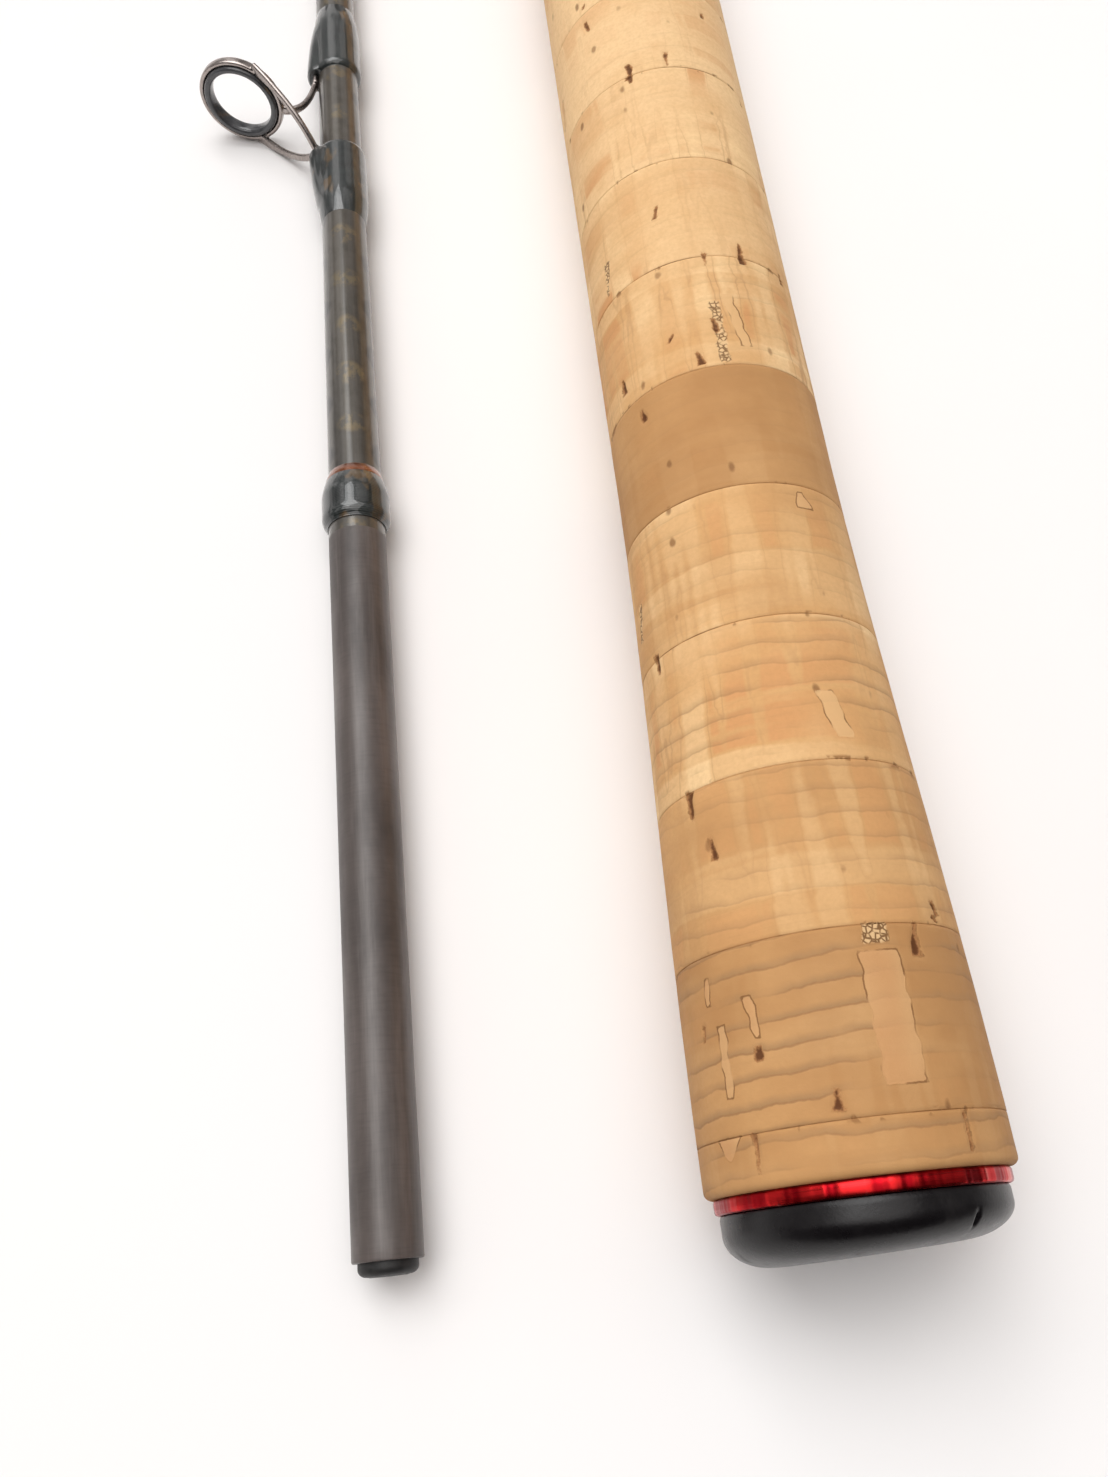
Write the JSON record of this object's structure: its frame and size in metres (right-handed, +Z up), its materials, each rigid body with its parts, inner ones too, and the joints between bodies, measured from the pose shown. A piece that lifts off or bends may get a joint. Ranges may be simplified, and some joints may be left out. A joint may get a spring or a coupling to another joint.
{
  "type": "fishing rod",
  "caption": "Two-piece spinning rod taken apart: butt section with cork grip, screw-locking reel seat and line guides, beside its tip section with a plugged male ferrule.",
  "frame": {"origin": "centre of the butt cap's end face, on the butt section's axis", "axes": "+Y from butt to tip along the butt section, +Z up from the surface both sections lie on, +X from the tip section towards the butt section"},
  "size_m": [0.086, 1.02, 0.0226],
  "materials": {
    "cork": "matte",
    "butt_cap_rubber": "satin",
    "trim_red": "gloss",
    "blank": "gloss",
    "butt_blank": "gloss",
    "seat_plastic": "satin",
    "arbor": "matte",
    "hood_metal": "satin",
    "wrap_thread": "gloss",
    "trim_thread": "gloss",
    "guide_steel": "polished",
    "guide_ceramic": "gloss",
    "plug_plastic": "matte"
  },
  "bodies": {
    "butt_section": {"butt_cap": "butt_cap_rubber", "butt_trim_ring": "trim_red", "grip_ring_01": "cork", "grip_ring_02": "cork", "grip_ring_03": "cork", "grip_ring_04": "cork", "grip_ring_05": "cork", "grip_ring_06": "cork", "grip_ring_07": "cork", "grip_ring_08": "cork", "grip_ring_09": "cork", "grip_ring_10": "cork", "grip_ring_11": "cork", "grip_ring_12": "cork", "grip_ring_13": "cork", "grip_ring_14": "cork", "grip_ring_15": "cork", "grip_ring_16": "cork", "grip_ring_17": "cork", "butt_blank": "butt_blank", "reel_seat_barrel": "seat_plastic", "seat_arbors": "arbor", "fixed_hood": "hood_metal", "foregrip_ring_1": "cork", "foregrip_ring_2": "cork", "foregrip_ring_3": "cork", "foregrip_ring_4": "cork", "winding_check": "trim_red", "socket_wrap": "wrap_thread", "socket_band": "trim_thread", "guide_1_frame": "guide_steel", "guide_2_frame": "guide_steel", "guide_1_insert": "guide_ceramic", "guide_2_insert": "guide_ceramic", "guide_1_wraps": "wrap_thread", "guide_2_wraps": "wrap_thread"},
    "sliding_hood": {"sliding_hood": "hood_metal"},
    "lock_nut": {"lock_nut": "hood_metal"},
    "tip_section": {"guide_3_frame": "guide_steel", "guide_3_insert": "guide_ceramic", "guide_3_wraps": "wrap_thread", "guide_4_frame": "guide_steel", "guide_4_insert": "guide_ceramic", "guide_4_wraps": "wrap_thread", "guide_5_frame": "guide_steel", "guide_5_insert": "guide_ceramic", "guide_5_wraps": "wrap_thread", "guide_6_frame": "guide_steel", "guide_6_insert": "guide_ceramic", "guide_6_wraps": "wrap_thread", "guide_7_frame": "guide_steel", "guide_7_insert": "guide_ceramic", "guide_7_wraps": "wrap_thread", "tip_blank": "blank", "ferrule_plug": "plug_plastic", "ferrule_wrap": "wrap_thread", "ferrule_band": "trim_thread", "tip_top_frame": "guide_steel", "tip_top_insert": "guide_ceramic", "tip_top_wrap": "wrap_thread"}
  },
  "joints": [
    {"name": "tip_section_draw", "type": "slide", "parent": "butt_section", "child": "tip_section", "axis": [0, 1, 0], "range_m": [0, 0.0667]},
    {"name": "hood_slide", "type": "slide", "parent": "butt_section", "child": "sliding_hood", "axis": [0, 1, 0], "range_m": [0, 0.014]},
    {"name": "nut_turn", "type": "hinge", "parent": "sliding_hood", "child": "lock_nut", "pos_m": [0, 0.21835, 0], "axis": [0, 1, 0], "range_deg": [0, 2520]}
  ],
  "couplings": [
    {"joint": "hood_slide", "follows": "nut_turn", "m_per_rad": 0.0003183}
  ]
}
